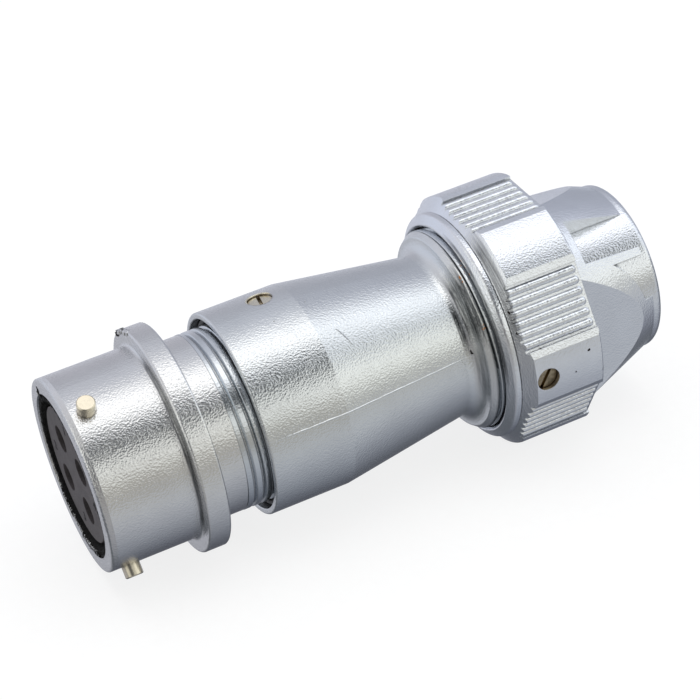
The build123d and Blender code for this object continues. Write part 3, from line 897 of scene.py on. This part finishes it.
# %% [markdown]
# ## Parting line
# A casting comes out of two halves of a mould, and a thin fin of metal stays where they met. It
# runs along both sides of the backshell. A bump would lose it in profile, so it is a low ridge
# that follows the measured surface, with some waver, because it was filed by hand.

# %% Parting line
FIN_SIDES = {"front": 15.5, "rear": 195.5}
FIN_HEIGHT = 0.07
FIN_WIDTH = 0.26
FIN_START = 24.3
FIN_END = 56.4
FIN_STEPS = 160
FIN_SINK = -0.03
FIN_TOP_SHARE = 0.3
FIN_FADE = 8
WAVER_RATE = 0.8
WAVER_OF_HEIGHT = 0.5
WAVER_OF_WIDTH = 0.3
WAVER_OF_SIDE = 0.15


def parting_fin(name, side):
    """A low ridge along the backshell at a side angle."""
    points = []
    for step in range(FIN_STEPS + 1):
        share = step / FIN_STEPS
        station = FIN_START + (FIN_END - FIN_START) * share
        radius = surface("backshell", station, side)
        waver = noise.noise(Vector((station * WAVER_RATE, side, 0.0)))
        height = FIN_HEIGHT * (1.0 + WAVER_OF_HEIGHT * waver) * fade(share, FIN_FADE)
        profile = ((-1.0, FIN_SINK), (-FIN_TOP_SHARE, height), (FIN_TOP_SHARE, height), (1.0, FIN_SINK))
        for offset, rise in profile:
            swing = degrees(offset * FIN_WIDTH / 2 * (1 + WAVER_OF_WIDTH * waver) / radius)
            points.append(place(station, radius + rise, side + swing + WAVER_OF_SIDE * waver))
    return add_piece(name, points, grid_faces(FIN_STEPS, len(profile)), backshell_metal, "body")


for side_name, side in FIN_SIDES.items():
    parting_fin("parting_line_" + side_name, side)
print("parting lines at", sorted(FIN_SIDES.values()))

# %% [markdown]
# ## Numbers at the contacts
# Each contact hole of such an insert has a small raised number beside it. Text objects are the
# quick way to real letter shapes: they get a little thickness and become meshes.

# %% Numbers at the contacts
NUMBER_SIZE = 2.0
NUMBER_RISE = 0.10
NUMBER_RADIUS = 7.6
NUMBER_SWING = 51.0
CONTACT_FIRST_SIDE = 37.0
CONTACTS = 4
FACING_FRONT = Matrix(((0, 0, -1), (-1, 0, 0), (0, 1, 0))).to_4x4()

insert_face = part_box("contact_insert")[0].x


def contact_number(number, side):
    """One raised number on the face of the insert, upright when seen from the front."""
    text = bpy.data.curves.new(f"number_{number}", "FONT")
    text.body = str(number)
    text.size = NUMBER_SIZE * MM
    text.extrude = NUMBER_RISE * MM / 2
    text.align_x = "CENTER"
    text.align_y = "CENTER"
    holder = bpy.data.objects.new("holder", text)
    mesh = bpy.data.meshes.new_from_object(holder)
    bpy.data.objects.remove(holder)
    spot = Vector((insert_face, 0.0, 0.0)) + outward(side) * NUMBER_RADIUS * MM
    mesh.transform(Matrix.Translation(spot) @ FACING_FRONT)
    print("number", number, "corners", len(mesh.vertices))
    return add_object(f"contact_number_{number}", mesh, mouldings["number_plastic"], "shell")


for number in range(CONTACTS):
    contact_number(number + 1, CONTACT_FIRST_SIDE + NUMBER_SWING + 360 / CONTACTS * number)

# %% [markdown]
# ## Worn edges with painted highlights
# Where the nut screws over the collar, both edges are worn, and each shows a bright, uneven line.
# The line is partly a painted highlight: a bead of lighter metal laid only along the lit stretch of
# the edge. An edge line drawn in a texture would stay straight, so each line is a thin bead whose
# radius and place waver.

# %% Worn edges with painted highlights
BEAD_STEPS = 240
BEAD_CORNERS = 6
BEAD_FADE = 12
BEAD_LEAST = 0.002
BEAD_ROUGHNESS = 0.6
SWELL_RATE = 0.35
DRIFT_RATE = 0.12


def worn_bead(name, station, radius, thickness, sides, waver, body):
    """An uneven bead of lighter metal round the axis, between two side angles, that fades out at both
    ends. It is a worn edge with a painted highlight.
    """
    points = []
    start, end = sides
    for step in range(BEAD_STEPS + 1):
        share = step / BEAD_STEPS
        side = start + (end - start) * share
        rough = noise.noise(Vector((side * SWELL_RATE, station, radius)))
        swell = thickness * (1.0 + BEAD_ROUGHNESS * rough) * fade(share, BEAD_FADE) + BEAD_LEAST
        drift = waver * noise.noise(Vector((side * DRIFT_RATE, radius, station)))
        for corner in range(BEAD_CORNERS):
            around = 2 * pi * corner / BEAD_CORNERS
            points.append(place(station + drift + swell * cos(around), radius + swell * sin(around), side))
    faces = grid_faces(BEAD_STEPS, BEAD_CORNERS, closed=True)
    return add_piece(name, points, faces, bright_metal, body, smooth=True)


# Painted highlight: lighter metal only along the lit stretch of each worn edge.
worn_bead("collar_edge", 57.62, 14.74, 0.075, (28.0, 100.0), 0.12, "body")
worn_bead("nut_mouth_edge", 58.64, 15.62, 0.05, (62.0, 112.0), 0.05, "nut")
print("worn edges on the collar and the nut, in", BEAD_STEPS, "steps each")

# %% [markdown]
# ## Knocks and specks
# A few small things make the casting this one and no other: the broken stub where the metal was
# poured in, a knock on the taper, and grains of plating that stand up like pinheads. The stub and
# the grains are little lumps of geometry pressed into the measured surface. Vector noise shifts
# their corners. It starts from the clock unless it is given a seed, so the seed is set first, and
# every run gives the same lumps. None may stand out before the mating face by more than a hair.

# %% Lumps
FRONT_LIMIT = -0.03 * MM
NOISE_SEED = 11
LUMP_SCALE = 0.6
LUMP_SHIFT = 0.7
LUMP_FACES = ((0, 1, 3, 2), (4, 6, 7, 5), (0, 4, 5, 1), (2, 3, 7, 6), (0, 2, 6, 4), (1, 5, 7, 3))

noise.seed_set(NOISE_SEED)


def lump(points, faces, centre, size, seed):
    """Adds a rough eight cornered lump to lists of points and faces."""
    first = len(points)
    for x in (-1, 1):
        for y in (-1, 1):
            for z in (-1, 1):
                shift = noise.noise_vector(Vector((x + seed, y, z))) * LUMP_SHIFT
                corner = centre + (Vector((x, y, z)) + shift) * size * MM * LUMP_SCALE
                corner.x = max(corner.x, FRONT_LIMIT)
                points.append(corner)
    for corners in LUMP_FACES:
        faces.append(tuple(first + corner for corner in corners))


print("a lump has", len(LUMP_FACES), "faces, noise seed", NOISE_SEED)

# %% [markdown]
# The stub is many lumps in a row on the rim of the flange. The same noise moves and sizes each of
# them, by the lump's number, so that no two are alike.

# %% Gate stub
GATE_LUMPS = 40
GATE_SIDES = (108.0, 133.0)
GATE_STATION = 13.45
GATE_RADIUS = 15.95
GATE_SCATTER = (0.55, 0.40, 1.5)
GATE_LUMP_SIZE = 0.36
GATE_LUMP_SPREAD = 0.18
GATE_SEED = 3.1
GATE_SEED_STEPS = (1.7, 2.3)

points, faces = [], []
for number in range(GATE_LUMPS):
    share = number / (GATE_LUMPS - 1)
    scatter = noise.noise_vector(Vector((number * GATE_SEED_STEPS[0], GATE_SEED, 0.0)))
    station = GATE_STATION + GATE_SCATTER[0] * scatter.x
    radius = GATE_RADIUS + GATE_SCATTER[1] * scatter.y
    side = GATE_SIDES[0] + (GATE_SIDES[1] - GATE_SIDES[0]) * share
    centre = place(station, radius, side + GATE_SCATTER[2] * scatter.z)
    size = GATE_LUMP_SIZE + GATE_LUMP_SPREAD * scatter.z
    lump(points, faces, centre, size, number * GATE_SEED_STEPS[1])
add_piece("gate_stub", points, faces, shell_metal, "shell")
print("gate stub with", GATE_LUMPS, "lumps")

# %% [markdown]
# The knock on the taper is a scratch with a raised lip on one side. It follows five points read
# off the photograph, and is widest in the middle. The grains of plating are single lumps.

# %% Knock and nodules
KNOCK_PATH = [(38.40, 60.0), (38.75, 57.4), (39.13, 54.4), (39.38, 51.6), (39.58, 48.6)]
KNOCK_PROFILE = ((-1.0, -0.02), (-0.2, 0.09), (0.3, 0.02), (1.0, -0.02))
KNOCK_WIDTH = 0.16
KNOCK_MIDDLE = 2
KNOCK_REACH = 2.6
NODULES = [
    (31.32, 77.4, 0.13), (36.67, 83.4, 0.13), (30.4, 74.0, 0.08), (34.2, 70.5, 0.07), (47.0, 77.0, 0.10),
]
NODULE_SEED_STEP = 5.1

points = []
for step, (station, side) in enumerate(KNOCK_PATH):
    radius = surface("backshell", station, side)
    width = KNOCK_WIDTH * (1.0 - abs(step - KNOCK_MIDDLE) / KNOCK_REACH)
    for offset, rise in KNOCK_PROFILE:
        points.append(place(station + offset * width, radius + rise, side + degrees(offset * width / radius)))
faces = grid_faces(len(KNOCK_PATH) - 1, len(KNOCK_PROFILE))
add_piece("taper_knock", points, faces, backshell_metal, "body")

points, faces = [], []
for number, (station, side, size) in enumerate(NODULES):
    centre = place(station, surface("backshell", station, side), side)
    lump(points, faces, centre, size, number * NODULE_SEED_STEP)
add_piece("plating_nodules", points, faces, backshell_metal, "body")
print("one knock and", len(NODULES), "nodules")

# %% [markdown]
# ## Ragged lining
# The black lining was moulded into the nose, and its front edge tore as it came out. It is a crust
# of small black crumbs with a few bright flecks of plating in it. A displaced ring would look too
# even, so the crumbs are scattered one by one, and two torn stretches at the lower back get more.
# Three steps that never fall in with each other spread the crumbs evenly without a random draw.

# %% Ragged lining
CRUMBS = 620
CRUMB_ZONE = ((0.0, 360.0), (10.95, 11.40), (0.32, 0.45))
CRUMB_SIZE = 0.18
CRUMB_SPREAD = 0.20
CRUMB_SIZE_STEP = 0.381966
CRUMB_SEED_STEP = 1.3
TORN_CRUMBS = CRUMBS // 8
TORN_SIDES = ((222.0, 244.0), (263.0, 296.0))
TORN_RADII = (11.3, 11.65)
TORN_STATIONS = (0.12, 0.38)
TORN_SIZE = 0.34
TORN_SEED_STEP = 2.1
SCATTER_STEPS = (0.6180339, 0.7548777, 0.5698403)


def scattered(number, zone):
    """A point spread over a zone, which is its ranges of side, radius and station."""
    side, radius, station = [
        low + (high - low) * ((number * step) % 1.0) for (low, high), step in zip(zone, SCATTER_STEPS)
    ]
    return place(station, radius, side)


crust_points, crust_faces = [], []
for number in range(CRUMBS):
    size = CRUMB_SIZE + CRUMB_SPREAD * ((number * CRUMB_SIZE_STEP) % 1.0)
    lump(crust_points, crust_faces, scattered(number, CRUMB_ZONE), size, number * CRUMB_SEED_STEP)
for sides in TORN_SIDES:
    for number in range(TORN_CRUMBS):
        spot = scattered(number, (sides, TORN_RADII, TORN_STATIONS))
        lump(crust_points, crust_faces, spot, TORN_SIZE, number * TORN_SEED_STEP)
print("crumbs:", CRUMBS, "and", TORN_CRUMBS, "more in each torn stretch")

# %% [markdown]
# A last cluster of crumbs is a black blob on the rim, near the top, where a notch in the rim shows
# dark. The bright flecks lie among the torn crumbs, just behind the mating face.

# %% Blob and flecks
BLOB_CRUMBS = 14
BLOB_STATION = 0.02
BLOB_RADIUS = 12.40
BLOB_SIDE = 125.0
BLOB_SIZE = 0.46
BLOB_SCATTER = 0.40
BLOB_STATION_SHARE = 0.1
BLOB_SIDE_SHARE = 2.0
BLOB_SEED = 5.2
BLOB_SEED_STEPS = (1.9, 3.3)
FLECKS = 150
FLECK_ZONE = ((222.0, 296.0), (11.0, 11.85), (0.02, 0.16))
FLECK_SIZE = 0.08
FLECK_SPREAD = 0.12
FLECK_SIZE_STEP = 0.27
FLECK_SEED_STEP = 1.9

for number in range(BLOB_CRUMBS):
    scatter = noise.noise_vector(Vector((number * BLOB_SEED_STEPS[0], BLOB_SEED, 0.0))) * BLOB_SCATTER
    station = BLOB_STATION + BLOB_STATION_SHARE * scatter.x
    side = BLOB_SIDE + BLOB_SIDE_SHARE * scatter.z
    spot = place(station, BLOB_RADIUS + scatter.y, side)
    lump(crust_points, crust_faces, spot, BLOB_SIZE, number * BLOB_SEED_STEPS[1])
lining = mouldings["lining_plastic"]
add_piece("lining_crust", crust_points, crust_faces, lining, "shell")

points, faces = [], []
for number in range(FLECKS):
    size = FLECK_SIZE + FLECK_SPREAD * ((number * FLECK_SIZE_STEP) % 1.0)
    lump(points, faces, scattered(number, FLECK_ZONE), size, number * FLECK_SEED_STEP)
add_piece("lining_flecks", points, faces, bright_metal, "shell")
print("crust of", len(crust_faces), "faces, flecks:", FLECKS)

# %% [markdown]
# ## Screw rim
# The backshell's set screw sits in a hole whose lip was raised a little when the hole was drilled.
# The lip catches the light on its far side, so it is a short bead along that part of the hole's
# edge only, in the screw's paler metal: a raised lip with a painted highlight. The barrel's radius
# is measured well beside the hole, where the ray meets solid metal.

# %% Screw rim
RIM_STEPS = 40
RIM_RADIUS = 1.86
RIM_THICKNESS = 0.15
RIM_LEAST = 0.004
RIM_FADE = 6
RIM_START = 5.0
RIM_END = 195.0
RIM_PROBE_SWING = 30.0

barrel = surface("backshell", BODY_SCREW_STATION, BODY_SCREW_SIDE + RIM_PROBE_SWING)
points = []
for step in range(RIM_STEPS + 1):
    share = step / RIM_STEPS
    turn = radians(RIM_START + (RIM_END - RIM_START) * share)
    swing = degrees(RIM_RADIUS * sin(turn) / barrel)
    swell = RIM_THICKNESS * fade(share, RIM_FADE) + RIM_LEAST
    for corner in range(BEAD_CORNERS):
        around = 2 * pi * corner / BEAD_CORNERS
        shift = swell * cos(around)
        station = BODY_SCREW_STATION + RIM_RADIUS * cos(turn) + shift * cos(turn)
        side = BODY_SCREW_SIDE + swing + degrees(shift * sin(turn) / barrel)
        points.append(place(station, barrel + swell * sin(around), side))
faces = grid_faces(RIM_STEPS, BEAD_CORNERS, closed=True)
# Painted highlight: a bead of the paler screw metal along the lit far side of the hole's edge.
add_piece("backshell_screw_rim", points, faces, nickel_screw_metal, "body", smooth=True)
print("raised rim at the backshell screw, on a barrel of radius", round(barrel, 2))

# %% [markdown]
# ## Finish
# The visual model has to keep the size of the solid one, so the growth of its box over the solid
# one's is printed in millimetres.

# %% Finish
visual_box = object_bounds()
growth = [(visual_box[1] - visual_box[0])[i] - (cad_box[1] - cad_box[0])[i] for i in range(3)]
print("growth in mm:", [round(value / MM, 3) for value in growth])
